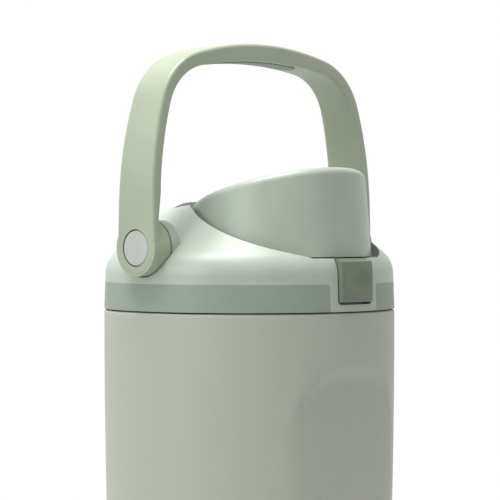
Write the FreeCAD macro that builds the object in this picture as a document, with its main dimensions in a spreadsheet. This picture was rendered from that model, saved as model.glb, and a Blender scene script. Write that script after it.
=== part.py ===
import FreeCAD, Part

"""Large insulated water jug: steel bottle, threaded lid, bail handle and sprung flip cap.

The origin is the centre of the foot on the table, +Z is up and the release button faces -Y.
Lid pieces are drawn from the lid's lower edge and handle pieces from the handle's pivot, and
each is lifted to its place by its Placement.
"""
import math
import os
import re

import Sketcher

SIZES = {
    # steel bottle
    "body_radius": 61.0,
    "base_inset": 6.6,
    "side_arc_radius": 3300.0,
    "seam_height": 215.0,
    "seam_gap": 0.5,
    "foot_height": 1.5,
    "foot_inset": 9.9,
    "foot_width": 4.0,
    "shell_wall": 0.9,
    "base_corner": 6.0,
    "grip_depth": 5.7,
    "grip_half_width": 23.5,
    "grip_corner": 17.0,
    "grip_top_depth": 32.7,
    "grip_bottom_height": 80.0,
    "grip_slope": 60.0,
    "liner_inset": 7.6,
    "liner_base_inset": 7.8,
    "liner_wall": 0.8,
    "liner_floor_height": 9.0,
    "liner_shoulder_depth": 6.0,
    "liner_base_corner": 12.0,
    "liner_shoulder_corner": 5.0,
    "neck_inset": 15.0,
    "neck_wall": 1.4,
    "neck_drop": 2.0,
    "base_plate_rise": 4.0,
    "seal_disc_radius": 11.0,
    "seal_disc_thickness": 0.8,
    # screw thread between neck and lid
    "thread_pitch": 4.0,
    "thread_depth": 1.2,
    "thread_base": 1.7,
    "thread_crest": 0.8,
    "thread_root_sink": 0.2,
    "thread_start": 3.2,
    "thread_rise": 7.6,
    "thread_gap": 0.4,
    # dome of the lid, measured from the lid's lower edge
    "dome_wall": 2.6,
    "shoulder_inset": 0.7,
    "shoulder_height": 20.3,
    "shoulder_corner": 12.0,
    "crown_inset": 30.4,
    "crown_height": 44.4,
    "crown_corner": 20.0,
    "band_height": 11.1,
    "band_depth": 1.4,
    "band_end_half_width": 13.6,
    "band_end_corner": 1.4,
    "deck_height": 21.4,
    "deck_thickness": 2.5,
    "insert_wall": 2.2,
    "insert_skirt_clearance": 1.0,
    "insert_disc_thickness": 2.4,
    "gasket_inset": 4.0,
    "gasket_width": 3.6,
    "gasket_gap": 0.1,
    # flip cap, its seat in the dome and its hinge
    "cap_centre": 18.0,
    "cap_inset": 23.0,
    "cap_draft": 3.0,
    "seat_shift": 2.5,
    "seat_margin": 1.4,
    "cap_lower_gap": 0.5,
    "cap_wall": 2.2,
    "cap_cone_rise": 10.0,
    "cap_slope": 15.1,
    "cap_plane_rise": 5.2,
    "cap_edge_round": 3.0,
    "hinge_y": 6.5,
    "hinge_drop": 4.9,
    "hinge_pin_radius": 1.5,
    "hinge_barrel_radius": 3.2,
    "hinge_barrel_half_gap": 10.0,
    "hinge_rear_depth": 6.2,
    "hinge_relief_depth": 7.4,
    "hinge_relief_inset": 7.3,
    "hinge_pin_seat": 1.8,
    "running_gap": 0.05,
    "skirt_rear_reach": 10.5,
    "skirt_rear_drop": 6.0,
    "coil_radius": 2.45,
    "coil_wire": 0.7,
    "coil_pitch": 1.6,
    "spring_gap_front": 4.0,
    "spring_gap_drop": 5.0,
    "spring_gap_rear": 0.2,
    # drinking spout and its seals
    "spout_y": 28.0,
    "spout_bore": 10.8,
    "spout_radius": 13.2,
    "spout_lip_radius": 14.0,
    "spout_lip_height": 3.0,
    "spout_spigot_radius": 12.6,
    "spout_flange_radius": 16.5,
    "spout_flange": 1.8,
    "spout_top_drop": 5.6,
    "spout_lip_round": 1.2,
    "oring_width": 2.2,
    "oring_thickness": 0.8,
    "seal_radius": 15.0,
    "seal_thickness": 1.7,
    "seal_gap": 0.3,
    "plug_radius": 10.2,
    "plug_depth": 2.0,
    "carrier_radius": 15.5,
    "vent_x": 24.0,
    "vent_y": 8.0,
    "vent_radius": 4.2,
    "vent_height": 2.4,
    "vent_stem": 1.5,
    "vent_round": 1.0,
    # release button and its latch
    "button_half_width": 9.375,
    "button_gap": 0.45,
    "button_bottom": 3.8,
    "button_top_drop": 1.1,
    "button_bend_drop": 5.0,
    "button_proud": 1.3,
    "button_lean": 0.6,
    "button_crest_lean": 5.6,
    "button_crest_rise": 0.1,
    "button_depth": 5.3,
    "button_round": 0.6,
    "button_bottom_gap": 1.0,
    "button_pocket_corner": 1.4,
    "button_bend_round": 8.0,
    "button_travel": 3.0,
    "dimple_half_width": 13.8,
    "dimple_half_height": 8.9,
    "dimple_half_depth": 6.0,
    "dimple_depth": 1.3,
    "dimple_height": 13.2,
    "button_bore": 3.0,
    "button_bore_depth": 2.8,
    "latch_half_width": 3.5,
    "latch_plate_half_width": 11.3,
    "latch_plate_thickness": 1.8,
    "latch_plate_bottom": 5.0,
    "latch_plate_drop": 0.5,
    "latch_arm_drop": 2.6,
    "latch_notch_gap": 0.4,
    "latch_arm_thickness": 2.0,
    "latch_post_thickness": 1.4,
    "latch_reach": 7.5,
    "latch_nose_length": 0.9,
    "latch_nose_rise": 4.2,
    "latch_nose_height": 1.6,
    "catch_depth": 1.6,
    "catch_rise": 2.1,
    "catch_height": 1.7,
    "latch_slot_gap": 0.7,
    "latch_slot_inset": 6.0,
    "rail_gap": 0.4,
    "rail_width": 2.0,
    "rail_depth": 5.0,
    "rail_bottom": 1.2,
    # bail handle, measured from its pivot
    "pivot_height": 25.5,
    "handle_clearance": 3.75,
    "handle_leg_top": 17.84,
    "handle_leg_radius": 141.37,
    "handle_corner_inset": 34.38,
    "handle_corner_z": 51.73,
    "handle_corner_radius": 29.14,
    "handle_top": 84.86,
    "handle_top_radius": 146.57,
    "strap_thickness": 3.65,
    "grip_leg_inset": 4.93,
    "grip_arc_height": 16.12,
    "relief_height": 12.0,
    "relief_taper": 2.2,
    "relief_top": 28.0,
    "grip_leg_radius": 139.93,
    "grip_corner_inset": 33.79,
    "grip_corner_z": 51.29,
    "grip_corner_radius": 23.42,
    "grip_arch_top": 77.5,
    "grip_arch_radius": 195.88,
    "strap_half_width": 11.2,
    "strap_top_half_width": 8.5,
    "strap_round": 1.4,
    "boss_radius": 11.4,
    "boss_gap": 0.8,
    "boss_inset": 0.15,
    "trunnion_radius": 11.3,
    "trunnion_inset": 5.9,
    "trunnion_depth": 4.7,
    "trunnion_backing": 1.7,
    "boss_pocket_gap": 0.4,
    "hub_radius": 5.5,
    "hub_length": 12.1,
    "bush_radius": 4.2,
    "bush_seat": 2.5,
    "bush_end_inset": 4.55,
    "screw_radius": 1.9,
    "screw_head_radius": 5.2,
    "screw_head_thickness": 2.1,
    "screw_head_gap": 0.3,
    "screw_slot_depth": 1.0,
    "screw_slot_radius": 1.9,
    "screw_shank_lead": 0.5,
    "pivot_cap_radius": 7.2,
    "pivot_cap_gap": 0.4,
    "pivot_cap_thickness": 2.1,
    "pivot_cap_round": 0.6,
    "washer_radius": 9.0,
    "washer_gap": 0.05,
    "pad_half_length": 25.0,
    "pad_half_width": 5.5,
    "pad_proud": 0.4,
    "pad_depth": 0.9,
    "pad_gap": 0.1,
    # how far a cutting solid runs past what it cuts
    "overshoot": 1.0,
    "far_overshoot": 5.0,
}

# sizes that follow from the ones above
PLACES = {
    "base_radius": "body_radius - base_inset",
    "foot_inner_radius": "base_radius - foot_inset",
    "grip_floor": "body_radius - grip_depth",
    "liner_radius": "body_radius - liner_inset",
    "liner_base_radius": "base_radius - liner_base_inset",
    "neck_radius": "body_radius - neck_inset",
    "neck_height": "deck_height - deck_thickness - insert_disc_thickness - neck_drop",
    "shoulder_radius": "body_radius - shoulder_inset",
    "crown_radius": "body_radius - crown_inset",
    "gasket_inner_radius": "neck_radius - gasket_inset",
    "cap_radius": "body_radius - cap_inset",
    "cap_top_radius": "cap_radius - cap_draft",
    "seat_centre": "cap_centre + seat_shift",
    "seat_radius": "cap_radius + seat_margin",
    "hinge_relief_half_width": "cap_radius - hinge_relief_inset",
    "cap_plane_height": "crown_height + cap_plane_rise",
    "cap_top_height": "cap_plane_height + cap_cone_rise",
    "hinge_height": "crown_height - hinge_drop",
    "spout_top": "cap_plane_height - spout_top_drop",
    "button_top": "deck_height - button_top_drop",
    "button_bend": "button_top - button_bend_drop",
    "button_front": "body_radius + button_proud",
    "button_top_front": "button_front - button_lean",
    "button_crest_front": "button_front - button_crest_lean",
    "button_crest": "deck_height + button_crest_rise",
    "button_back": "button_front - button_depth",
    "latch_plate_top": "deck_height - deck_thickness - latch_plate_drop",
    "latch_arm_bottom": "deck_height - deck_thickness - latch_arm_drop",
    "latch_post_back": "button_back - latch_reach",
    "latch_nose_bottom": "deck_height + latch_nose_rise",
    "latch_top": "latch_nose_bottom + latch_nose_height",
    "catch_bottom": "deck_height + catch_rise",
    "catch_top": "catch_bottom + catch_height",
    "trunnion_x": "body_radius - trunnion_inset",
    "hub_inner_x": "trunnion_x - hub_length",
    "handle_half_span": "body_radius + handle_clearance",
    "handle_corner_x": "handle_half_span - handle_corner_inset",
    "grip_half_span": "handle_half_span - strap_thickness",
    "grip_leg_half_span": "handle_half_span - grip_leg_inset",
    "grip_corner_x": "handle_half_span - grip_corner_inset",
    "boss_inner_x": "trunnion_x + boss_gap",
    "boss_outer_x": "handle_half_span - boss_inset",
    "bush_end_x": "boss_outer_x - bush_end_inset",
}

UP = FreeCAD.Vector(0, 0, 1)
ALONG_X = FreeCAD.Rotation(FreeCAD.Vector(0, 1, 0), 90)
ALONG_Y = FreeCAD.Rotation(FreeCAD.Vector(1, 0, 0), -90)
FAR = "200"
TOUCH = 0.01

doc = FreeCAD.newDocument("large_water_jug")
sheet = doc.addObject("Spreadsheet::Sheet", "Sizes")
nodes = []


def fill_sheet():
    """Write each driving size to its own cell, under its own name."""
    for row, (alias, number) in enumerate(SIZES.items(), 1):
        sheet.set(f"A{row}", alias)
        sheet.set(f"B{row}", str(number))
        sheet.setAlias(f"B{row}", alias)
    doc.recompute()


def cells(text):
    """Expression in which each size's name points at its cell."""
    def as_cell(match):
        """One word's cell, or what a following size is worked out from."""
        word = match[0]
        if word in PLACES:
            return f"({cells(PLACES[word])})"
        return f"Sizes.{word}" if word in SIZES else word
    return re.sub(r"[a-z]\w*", as_cell, text)


def number(text):
    """Number that an expression of sizes comes to."""
    answer = sheet.evalExpression(cells(text))
    return float(getattr(answer, "Value", answer))


def bind(item, name, text):
    """Tie one property of an object to an expression of sizes."""
    item.setExpression(name, cells(text))


def put(item, x="0", y="0", z="0", turn=None):
    """Place an object by expressions, after an optional fixed turn."""
    if turn is not None:
        item.Placement = FreeCAD.Placement(FreeCAD.Vector(), turn)
    for axis, text in zip("xyz", (x, y, z)):
        if text != "0":
            bind(item, f"Placement.Base.{axis}", text)
    return item


def node(item, label, datum="0"):
    """Name a finished sub-part and lift it from its datum to its place."""
    item.Label = label
    bind(item, "Placement.Base.z", datum)
    nodes.append(item)
    return item


LID = "seam_height"
PIVOT = "seam_height + pivot_height"


# ---------------------------------------------------------------- primitives

def cylinder(name, radius, low, high, x="0", y="0"):
    """Upright cylinder from one height to another."""
    item = doc.addObject("Part::Cylinder", name)
    bind(item, "Radius", radius)
    bind(item, "Height", f"({high}) - ({low})")
    return put(item, x, y, low)


def rod(name, radius, start, end, y="0", z="0"):
    """Cylinder along X from one side to the other."""
    item = doc.addObject("Part::Cylinder", name)
    bind(item, "Radius", radius)
    bind(item, "Height", f"({end}) - ({start})")
    return put(item, start, y, z, ALONG_X)


def box(name, low, high):
    """Box between two corners, each a triple of expressions."""
    item = doc.addObject("Part::Box", name)
    for side, first, last in zip(("Length", "Width", "Height"), low, high):
        bind(item, side, f"({last}) - ({first})")
    return put(item, *low)


def joined(name, *pieces):
    """Fusion of several solids."""
    item = doc.addObject("Part::MultiFuse", name)
    item.Shapes = list(pieces)
    item.Refine = True
    return item


def cut(name, base, *tools):
    """Base with every tool taken away."""
    item = doc.addObject("Part::Cut", name)
    item.Base = base
    item.Tool = tools[0] if len(tools) == 1 else joined(f"{name}_tools", *tools)
    return item


def common(name, first, second):
    """What two solids share."""
    item = doc.addObject("Part::Common", name)
    item.Base = first
    item.Tool = second
    return item


def edges_where(shape, test):
    """Names of the edges of a shape that pass a test."""
    return [f"Edge{index}" for index, edge in enumerate(shape.Edges, 1) if test(edge)]


def rounded(name, base, radius, test):
    """Base with the edges that pass a test rounded."""
    doc.recompute()
    item = doc.addObject("Part::Fillet", name)
    item.Base = base
    amount = number(radius)
    chosen = [index for index, edge in enumerate(base.Shape.Edges, 1) if test(edge)]
    item.Edges = [(index, amount, amount) for index in chosen]
    return item


# ------------------------------------------------------------ sketched bodies

def origin_plane(body, role):
    """One of a body's own origin planes."""
    return next(item for item in body.Origin.OriginFeatures if item.Role == role)


def sketch_on(body, name, role="XZ_Plane", offset=None):
    """Empty sketch on one of a body's origin planes."""
    sketch = body.newObject("Sketcher::SketchObject", name)
    sketch.AttachmentSupport = [(origin_plane(body, role), "")]
    sketch.MapMode = "FlatFace"
    if offset is not None:
        bind(sketch, "AttachmentOffset.Base.z", offset)
    return sketch


def hold(sketch, kind, geometry, point, text):
    """Keep one coordinate of a point at an expression's value."""
    axis = {"DistanceX": -2, "DistanceY": -1}[kind]
    if text == "0":
        sketch.addConstraint(Sketcher.Constraint("PointOnObject", geometry, point, axis))
        return
    rule = Sketcher.Constraint(kind, -1, 1, geometry, point, number(text))
    index = sketch.addConstraint(rule)
    bind(sketch, f"Constraints[{index}]", text)


def arc_between(start, end, radius):
    """Short arc between two points; a positive radius bulges to the left of the way."""
    chord = end - start
    left = FreeCAD.Vector(-chord.y, chord.x, 0)
    left.normalize()
    drop = (radius * radius - chord.Length * chord.Length / 4) ** 0.5
    centre = (start + end) * 0.5 - left * (drop if radius > 0 else -drop)
    first, last = (end, start) if radius > 0 else (start, end)
    angles = [math.atan2(point.y - centre.y, point.x - centre.x) for point in (first, last)]
    if angles[1] < angles[0]:
        angles[1] += 2 * math.pi
    return Part.ArcOfCircle(Part.Circle(centre, UP, abs(radius)), *angles)


def draw(sketch, corners):
    """Closed outline: each corner is (x, y) or (x, y, radius of the arc to the next corner)."""
    points = [FreeCAD.Vector(number(corner[0]), number(corner[1]), 0) for corner in corners]
    count = len(corners)
    flipped = []
    for index, corner in enumerate(corners):
        start = points[index]
        end = points[(index + 1) % count]
        if len(corner) == 2:
            sketch.addGeometry(Part.LineSegment(start, end), False)
            flipped.append(False)
            continue
        sketch.addGeometry(arc_between(start, end, number(corner[2])), False)
        flipped.append(not corner[2].startswith("-"))
    first = [2 if turned else 1 for turned in flipped]
    last = [1 if turned else 2 for turned in flipped]
    for index in range(count):
        after = (index + 1) % count
        joint = Sketcher.Constraint("Coincident", index, last[index], after, first[after])
        sketch.addConstraint(joint)
    for index, corner in enumerate(corners):
        hold(sketch, "DistanceX", index, first[index], corner[0])
        hold(sketch, "DistanceY", index, first[index], corner[1])
        if len(corner) == 3:
            size = sketch.addConstraint(Sketcher.Constraint("Radius", index, abs(number(corner[2]))))
            bind(sketch, f"Constraints[{size}]", corner[2].lstrip("-"))


def turned(name, corners, *rounds):
    """Body of revolution about Z; each round is (radius, height, fillet) of a circular edge."""
    body = doc.addObject("PartDesign::Body", name)
    sketch = sketch_on(body, f"{name}_section")
    draw(sketch, corners)
    feature = body.newObject("PartDesign::Revolution", f"{name}_turned")
    feature.Profile = sketch
    feature.ReferenceAxis = (sketch, ["V_Axis"])
    feature.Angle = 360
    for step, (radius, height, fillet) in enumerate(rounds, 1):
        doc.recompute()
        rim = (number(radius), number(height))

        def on_rim(edge, rim=rim):
            """Whether an edge is the circle of this radius and height."""
            curve = edge.Curve
            if not isinstance(curve, Part.Circle):
                return False
            return abs(curve.Radius - rim[0]) < 2 * TOUCH and abs(curve.Center.z - rim[1]) < 2 * TOUCH

        names = edges_where(feature.Shape, on_rim)
        corner = body.newObject("PartDesign::Fillet", f"{name}_round_{step}")
        corner.Base = (feature, names)
        bind(corner, "Radius", fillet)
        feature = corner
    body.Tip = feature
    return body


def padded(name, corners, length, role="XZ_Plane", taper=None, offset=None, both_ways=True):
    """Body padded from an outline on an origin plane."""
    body = doc.addObject("PartDesign::Body", name)
    sketch = sketch_on(body, f"{name}_outline", role, offset)
    draw(sketch, corners)
    pad = body.newObject("PartDesign::Pad", f"{name}_pad")
    pad.Profile = sketch
    pad.Midplane = both_ways
    bind(pad, "Length", length)
    if taper is not None:
        bind(pad, "TaperAngle", taper)
    body.Tip = pad
    return body


def wound(body, section, pitch, height, axis="V_Axis"):
    """Helical ridge added to a body from its own sketch."""
    ridge = body.newObject("PartDesign::AdditiveHelix", f"{body.Name}_thread")
    ridge.Profile = section
    ridge.ReferenceAxis = (section, [axis])
    ridge.Mode = "pitch-height-angle"
    bind(ridge, "Pitch", pitch)
    bind(ridge, "Height", height)
    body.Tip = ridge
    return ridge


# --------------------------------------------------------------------- bottle

SHELL_TOP = "(seam_height - seam_gap)"


def bottle_form(name, inset):
    """Solid inside a skin at some depth under the bottle's outside."""
    return turned(
        name,
        [("0", f"foot_height + {inset}"),
         (f"base_radius - {inset}", f"foot_height + {inset}", "-side_arc_radius"),
         (f"body_radius - {inset}", f"{SHELL_TOP} - {inset}"),
         ("0", f"{SHELL_TOP} - {inset}")],
        (f"base_radius - {inset}", f"foot_height + {inset}", f"base_corner - {inset}"))


def grip_tool(name, inset, turn):
    """Round-cornered hollow with soft sloping edges, pushed into one side of the bottle."""
    half = f"(grip_half_width + {inset})"
    corner = f"(grip_corner + {inset})"
    top = f"(seam_height - grip_top_depth + {inset})"
    bottom = f"(grip_bottom_height - {inset})"
    body = padded(
        name,
        [(f"{half} - {corner}", bottom, f"-{corner}"),
         (half, f"{bottom} + {corner}"),
         (half, f"{top} - {corner}", f"-{corner}"),
         (f"{half} - {corner}", top),
         (f"{corner} - {half}", top, f"-{corner}"),
         (f"0 - {half}", f"{top} - {corner}"),
         (f"0 - {half}", f"{bottom} + {corner}", f"-{corner}"),
         (f"{corner} - {half}", bottom)],
        "body_radius - grip_floor + far_overshoot",
        taper="grip_slope", offset=f"grip_floor - {inset}", both_ways=False)
    body.Placement = FreeCAD.Placement(FreeCAD.Vector(), FreeCAD.Rotation(UP, turn))
    return body


def make_outer_shell():
    """Powder-coated steel skin with a hollow for the thumb and one for the fingers."""
    outside = cut("shell_outside", bottle_form("shell_form", "0"),
                  grip_tool("front_grip", "0", 0), grip_tool("rear_grip", "0", 180))
    inside = cut("shell_inside", bottle_form("cavity_form", "shell_wall"),
                 grip_tool("front_grip_back", "shell_wall", 0),
                 grip_tool("rear_grip_back", "shell_wall", 180))
    mouth = cylinder("shell_mouth", "neck_radius + running_gap",
                     f"{SHELL_TOP} - 3 * shell_wall", f"{SHELL_TOP} + shell_wall")
    base_hole = cylinder("shell_base_hole", "foot_inner_radius", "0", "foot_height + 2 * shell_wall")
    node(cut("outer_shell_cut", outside, inside, mouth, base_hole), "outer_shell")


def make_inner_liner():
    """Inner steel vessel, drawn up into the threaded neck."""
    inner_base = "(liner_base_radius - liner_wall)"
    inner_side = "(liner_radius - liner_wall)"
    bore = "(neck_radius - neck_wall)"
    shoulder = "(seam_height - liner_shoulder_depth)"
    body = turned(
        "inner_liner_body",
        [("0", "liner_floor_height"),
         ("liner_base_radius", "liner_floor_height", "-side_arc_radius"),
         ("liner_radius", shoulder),
         ("neck_radius", shoulder),
         ("neck_radius", "seam_height + neck_height"),
         (bore, "seam_height + neck_height"),
         (bore, f"{shoulder} - liner_wall"),
         (inner_side, f"{shoulder} - liner_wall", "side_arc_radius"),
         (inner_base, "liner_floor_height + liner_wall"),
         ("0", "liner_floor_height + liner_wall")],
        ("liner_base_radius", "liner_floor_height", "liner_base_corner"),
        (inner_base, "liner_floor_height + liner_wall", "liner_base_corner - liner_wall"),
        ("liner_radius", shoulder, "liner_shoulder_corner"),
        (inner_side, f"{shoulder} - liner_wall", "liner_shoulder_corner - liner_wall"))
    section = sketch_on(body, "neck_thread_section")
    draw(section, thread_section("neck_radius - thread_root_sink", "neck_radius + thread_depth",
                                 "seam_height + thread_start"))
    wound(body, section, "thread_pitch", "thread_rise")
    node(body, "inner_liner")


def thread_section(root, crest, height):
    """Section of a thread's ridge, from its root to its narrower crest."""
    half_base = "thread_base / 2"
    half_crest = "thread_crest / 2"
    return [(root, f"{height} - {half_base}"),
            (crest, f"{height} - {half_crest}"),
            (crest, f"{height} + {half_crest}"),
            (root, f"{height} + {half_base}")]


def make_base():
    """Recessed base plate, the disc that seals the vacuum port, and the rubber foot."""
    rim = "foot_inner_radius"
    plate = turned(
        "base_plate_body",
        [(f"{rim} - shell_wall", "foot_height"),
         (rim, "foot_height"),
         (rim, "foot_height + base_plate_rise"),
         ("0", "foot_height + base_plate_rise"),
         ("0", "foot_height + base_plate_rise - shell_wall"),
         (f"{rim} - shell_wall", "foot_height + base_plate_rise - shell_wall")])
    node(plate, "base_plate")
    plate_under = "foot_height + base_plate_rise - shell_wall"
    node(cylinder("seal_disc", "seal_disc_radius", f"{plate_under} - seal_disc_thickness", plate_under),
         "vacuum_seal_disc", f"{plate_under} - seal_disc_thickness")
    foot = turned(
        "foot_body",
        [("foot_inner_radius", "0"),
         ("foot_inner_radius + foot_width", "0"),
         ("foot_inner_radius + foot_width", "foot_height"),
         ("foot_inner_radius", "foot_height")])
    node(foot, "base_foot_ring")


# ------------------------------------------------------------------------ lid

BUTTON_POCKET_HALF = "(button_half_width + button_gap)"
BUTTON_POCKET_BACK = "(button_back - button_travel - button_gap)"
SKIRT_BORE = "(neck_radius + thread_depth + thread_gap)"
SKIRT_RADIUS = f"({SKIRT_BORE} + insert_wall)"
DECK_UNDER = "(deck_height - deck_thickness)"
INSERT_UNDER = f"({DECK_UNDER} - insert_disc_thickness)"
INSIDE_LIMIT = "(shoulder_radius - dome_wall - rail_gap)"
LATCH_SLOT_HALF = "(latch_half_width + latch_slot_gap)"
LATCH_SLOT_BACK = "(latch_post_back - button_travel - button_gap)"


def dome_form(name, inset):
    """Solid dome of the lid at some depth under its outside."""
    shoulder = f"(shoulder_radius - {inset})"
    top = f"(crown_height - {inset})"
    return turned(
        name,
        [("0", "0 - seam_gap" if inset != "0" else "0"),
         (f"body_radius - {inset}", "0 - seam_gap" if inset != "0" else "0"),
         (shoulder, "shoulder_height"),
         (f"crown_radius - {inset} / 2", top),
         ("0", top)],
        (shoulder, "shoulder_height", f"shoulder_corner - {inset}"),
        (f"crown_radius - {inset} / 2", top, f"crown_corner - {inset}"))


def seat_form(name, grow, low, high):
    """Round seat of the flip cap, squared off behind its hinge."""
    circle = cylinder(f"{name}_circle", f"seat_radius + {grow}", low, high, y="0 - seat_centre")
    half = f"(hinge_relief_half_width + {grow})"
    back = f"(hinge_y + hinge_relief_depth + {grow})"
    square = box(f"{name}_square", (f"0 - {half}", "0 - seat_centre", low), (half, back, high))
    behind = box(f"{name}_behind", ("0 - 2 * cap_radius", back, f"{low} - overshoot"),
                 ("2 * cap_radius", "2 * body_radius", f"{high} + overshoot"))
    return cut(name, joined(f"{name}_plan", circle, square), behind)


def make_accent_band():
    """Band of darker rubber let into the lower edge, with a gap at the button."""
    ring = turned(
        "band_ring",
        [("body_radius - band_depth", "0"),
         ("body_radius", "0"),
         ("body_radius + (shoulder_radius - body_radius) * band_height / shoulder_height", "band_height"),
         ("body_radius - band_depth", "band_height")])
    gap = box("band_gap", ("0 - band_end_half_width", "0 - 2 * body_radius", "0 - overshoot"),
              ("band_end_half_width", "0", "2 * band_height"))
    open_ring = cut("band_open", ring, gap)
    half = number("band_end_half_width")
    height = number("band_height")

    def at_end(edge):
        """Whether an edge is the top corner at an end of the band."""
        box_of = edge.BoundBox
        level = box_of.ZMin > height - TOUCH
        across = box_of.XLength < TOUCH and abs(abs(box_of.XMin) - half) < TOUCH
        return level and across
    node(rounded("band", open_ring, "band_end_corner", at_end), "accent_band", LID)


def trunnion(side, sign):
    """Boss that carries one end of the handle, with its hub inside the dome."""
    inner = "trunnion_x - trunnion_depth"
    low, high = ("trunnion_x - trunnion_depth", "trunnion_x")
    hub_low, hub_high = ("hub_inner_x", inner)
    if sign < 0:
        low, high = ("0 - trunnion_x", "trunnion_depth - trunnion_x")
        hub_low, hub_high = ("trunnion_depth - trunnion_x", "0 - hub_inner_x")
    boss = rod(f"{side}_trunnion", "trunnion_radius", low, high, z="pivot_height")
    backing = rod(f"{side}_backing", "trunnion_radius + trunnion_backing", low, high, z="pivot_height")
    hub = rod(f"{side}_hub", "hub_radius", hub_low, hub_high, z="pivot_height")
    return boss, backing, hub


def side_rod(name, radius, near, far, sign, z="0"):
    """Rod along X on the left (sign -1) or right (sign 1), between two distances."""
    if sign > 0:
        return rod(name, radius, near, far, z=z)
    return rod(name, radius, f"0 - ({far})", f"0 - ({near})", z=z)


def make_collar():
    """Domed lid moulding with the cap's seat, the button's pocket and both trunnions."""
    outside = dome_form("dome_outside", "0")
    backed = [outside]
    carved = []
    hubs = []
    for side, sign in (("left", -1), ("right", 1)):
        boss, backing, hub = trunnion(side, sign)
        carved.append(side_rod(f"{side}_pocket", "boss_radius + boss_pocket_gap",
                               "trunnion_x", "body_radius + far_overshoot", sign, z="pivot_height"))
        carved.append(side_rod(f"{side}_bush_seat", "bush_radius", "trunnion_x - bush_seat",
                               "trunnion_x + overshoot", sign, z="pivot_height"))
        carved.append(side_rod(f"{side}_screw_hole", "screw_radius", "hub_inner_x - overshoot",
                               "trunnion_x", sign, z="pivot_height"))
        backed.append(boss)
        hubs.append(common(f"{side}_inner_backing", outside, backing))
        hubs.append(hub)
    hollow = cut("dome_hollow", dome_form("dome_inside", "dome_wall"),
                 seat_form("seat_wall", "dome_wall", DECK_UNDER, "2 * crown_height"))
    shell = cut("dome_shell", joined("dome_bossed", *backed), hollow)
    solid = joined("dome_solid", shell, *hubs)
    seat = seat_form("cap_seat", "0", "deck_height", "2 * crown_height")
    pocket_bottom = "button_bottom - button_bottom_gap"
    pocket_box = box("button_pocket_box",
                     (f"0 - {BUTTON_POCKET_HALF}", "0 - 2 * body_radius", pocket_bottom),
                     (BUTTON_POCKET_HALF, f"0 - {BUTTON_POCKET_BACK}", "deck_height + overshoot"))
    lowest = number(pocket_bottom)

    def at_bottom(edge):
        """Whether an edge is a bottom corner of the pocket, along Y."""
        extent = edge.BoundBox
        return extent.ZMax < lowest + TOUCH and extent.YLength > extent.XLength
    pocket = rounded("button_pocket", pocket_box, "button_pocket_corner", at_bottom)
    slot = box("latch_slot",
               (f"0 - {LATCH_SLOT_HALF}", "0 - body_radius + latch_slot_inset", f"{DECK_UNDER} - overshoot"),
               (LATCH_SLOT_HALF, f"0 - {LATCH_SLOT_BACK}", "deck_height + overshoot"))
    spigot = cylinder("spigot_hole", "spout_spigot_radius + running_gap", f"{DECK_UNDER} - overshoot",
                      "deck_height + overshoot", y="0 - spout_y")
    vent = cylinder("vent_hole", "vent_stem + running_gap", f"{DECK_UNDER} - overshoot",
                    "deck_height + overshoot", x="vent_x", y="0 - vent_y")
    pin = rod("pin_hole", "hinge_pin_radius", f"0 - hinge_relief_half_width - hinge_pin_seat",
              f"hinge_relief_half_width + hinge_pin_seat", y="hinge_y", z="hinge_height")
    band = doc.getObject("band")
    groove = doc.addObject("Part::Feature", "band_groove")
    doc.recompute()
    groove.Shape = band.Shape.copy()
    groove.Placement = FreeCAD.Placement()
    node(cut("collar", solid, seat, pocket, slot, spigot, vent, pin, groove, *carved), "lid_collar", LID)


def make_insert():
    """Inner lid moulding whose skirt screws down over the neck."""
    body = turned(
        "insert_body",
        [(SKIRT_BORE, "insert_skirt_clearance"),
         (SKIRT_RADIUS, "insert_skirt_clearance"),
         (SKIRT_RADIUS, DECK_UNDER),
         ("0", DECK_UNDER),
         ("0", INSERT_UNDER),
         (SKIRT_BORE, INSERT_UNDER)])
    section = sketch_on(body, "skirt_thread_section")
    draw(section, thread_section(f"{SKIRT_BORE} + thread_root_sink", f"{SKIRT_BORE} - thread_depth",
                                 "thread_start + thread_pitch / 2"))
    wound(body, section, "thread_pitch", "thread_rise")
    notch = box("latch_notch",
                (f"0 - {LATCH_SLOT_HALF}", "0 - body_radius", "latch_arm_bottom - latch_notch_gap"),
                (LATCH_SLOT_HALF, f"0 - {LATCH_SLOT_BACK}", f"{DECK_UNDER} + overshoot"))
    spigot = cylinder("insert_spigot_hole", "spout_spigot_radius + running_gap",
                      f"{INSERT_UNDER} - overshoot", f"{DECK_UNDER} + overshoot", y="0 - spout_y")
    vent = cylinder("insert_vent_hole", "vent_stem + running_gap", f"{INSERT_UNDER} - overshoot",
                    f"{DECK_UNDER} + overshoot", x="vent_x", y="0 - vent_y")
    node(cut("insert", body, notch, spigot, vent), "lid_insert", LID)


def make_gasket():
    """Rubber ring between the neck's rim and the lid."""
    ring = turned(
        "gasket_body",
        [("gasket_inner_radius", "neck_height + gasket_gap"),
         ("gasket_inner_radius + gasket_width", "neck_height + gasket_gap"),
         ("gasket_inner_radius + gasket_width", f"{INSERT_UNDER} - gasket_gap"),
         ("gasket_inner_radius", f"{INSERT_UNDER} - gasket_gap")])
    node(ring, "lid_gasket", LID)


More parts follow.
